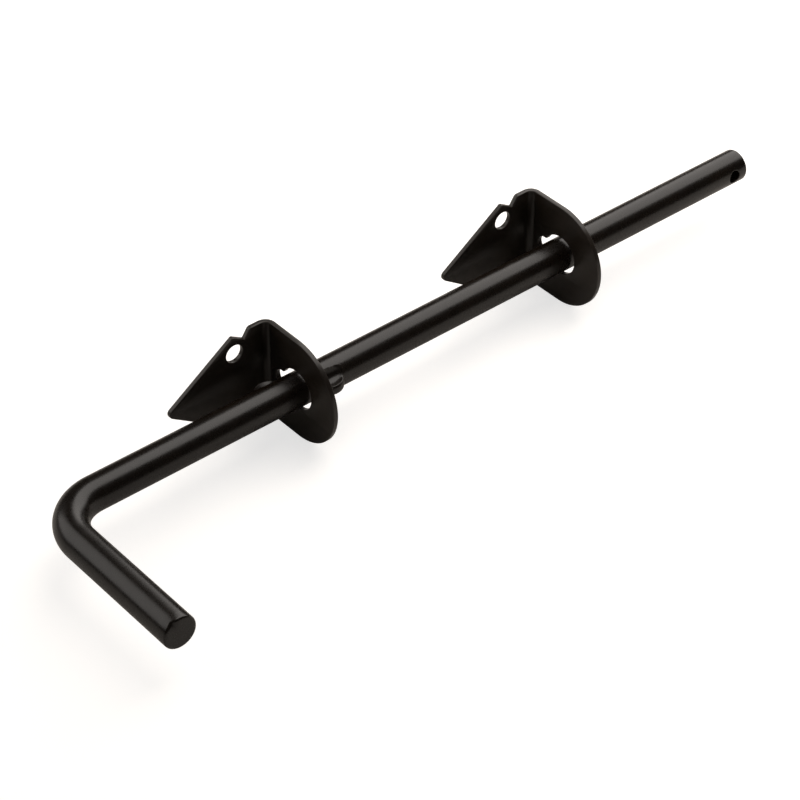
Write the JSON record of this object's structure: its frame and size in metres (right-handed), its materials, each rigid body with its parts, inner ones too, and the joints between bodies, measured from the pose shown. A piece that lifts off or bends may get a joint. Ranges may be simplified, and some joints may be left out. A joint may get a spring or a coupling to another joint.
{
  "type": "cane bolt",
  "caption": "L-handled drop rod with pinched stop lugs and a cross hole, sliding in keyhole brackets that screw to a gate.",
  "frame": {"origin": "midway between the upper bracket's two screw holes, on its mounting face", "axes": "+X along the rod towards its ground end, +Y into the gate, +Z along each pair of screw holes"},
  "size_m": [0.3289, 0.0908, 0.0418],
  "materials": {
    "rod_coating": "semi-gloss black coating",
    "bracket_coating": "satin black coating"
  },
  "bodies": {
    "brackets": {"upper_bracket": "bracket_coating", "lower_bracket": "bracket_coating"},
    "rod": {"cane_rod": "rod_coating"}
  },
  "joints": [
    {"name": "rod_slide", "type": "slide", "parent": "brackets", "child": "rod", "axis": [1, 0, 0], "range_m": [-0.004, 0.091]}
  ]
}
